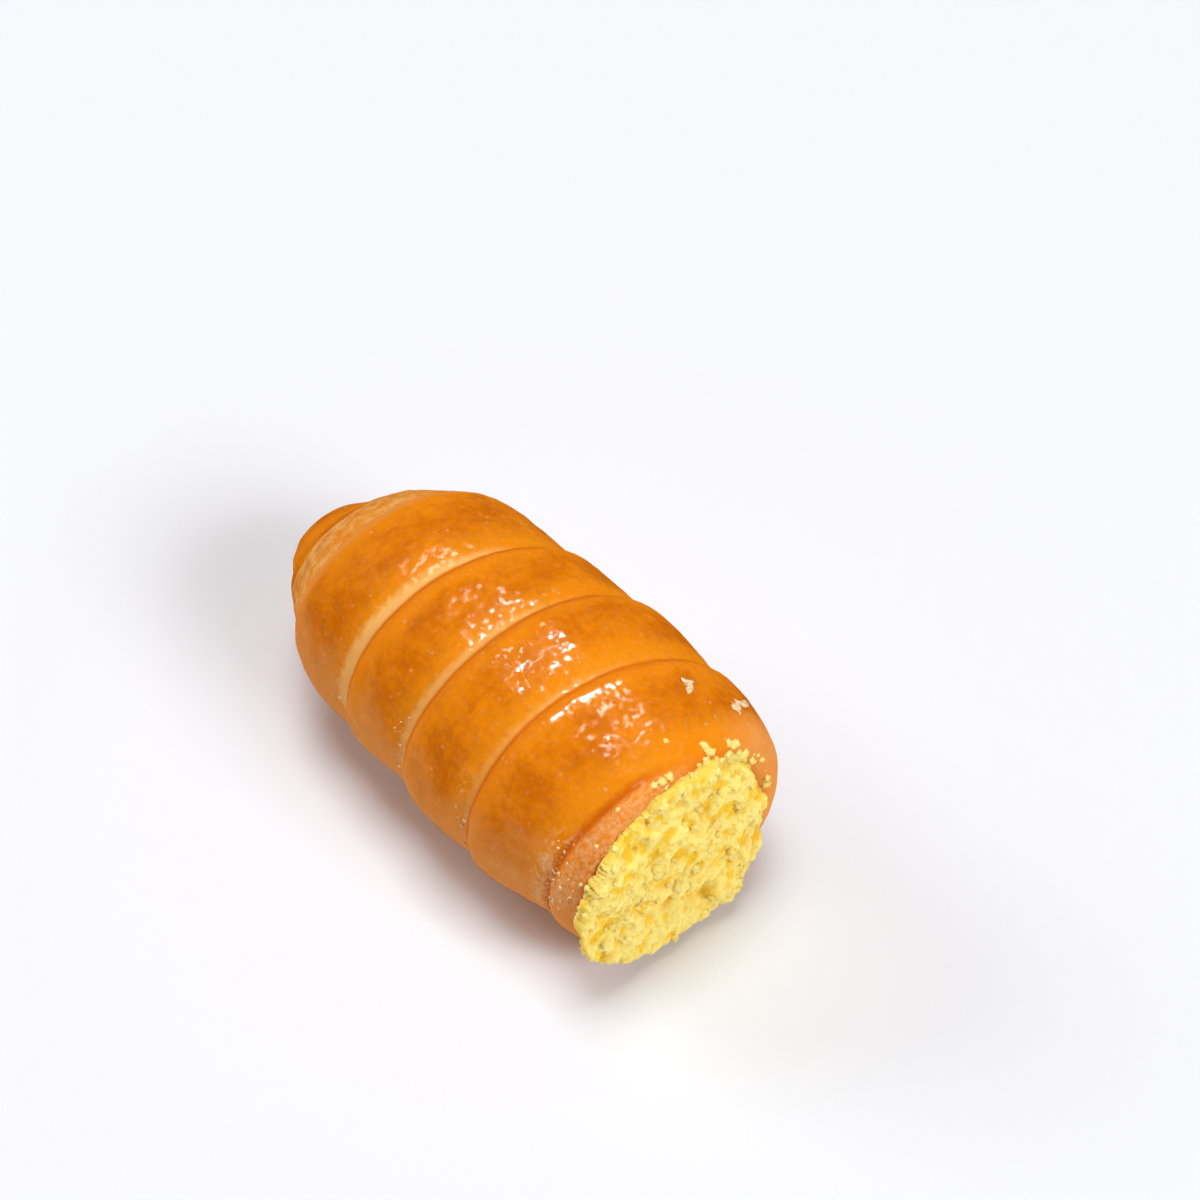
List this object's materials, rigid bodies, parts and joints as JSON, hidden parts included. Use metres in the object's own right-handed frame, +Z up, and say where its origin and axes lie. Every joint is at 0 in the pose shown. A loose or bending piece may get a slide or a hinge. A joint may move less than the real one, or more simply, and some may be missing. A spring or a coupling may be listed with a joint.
{
  "type": "cream horn",
  "caption": "Baked pastry horn of one spirally wound strip, closed at the tip, filled to its mouth with crumbly vanilla cream; it lies on its side.",
  "frame": {"origin": "middle of the bounding box of the lying horn, on the plane that it rests on", "axes": "+Z up; the horn's length runs along Y, with its closed tip towards +Y and its filled mouth towards -Y"},
  "size_m": [0.0476, 0.0934, 0.0465],
  "materials": {
    "crust": "egg-glazed golden brown crust, glossy, finely uneven; paler and duller in the creases",
    "cream": "matte, coarse and crumbly, pale yellow"
  },
  "bodies": {
    "root": {"pastry_shell": "crust", "cream_filling": "cream"}
  },
  "joints": []
}
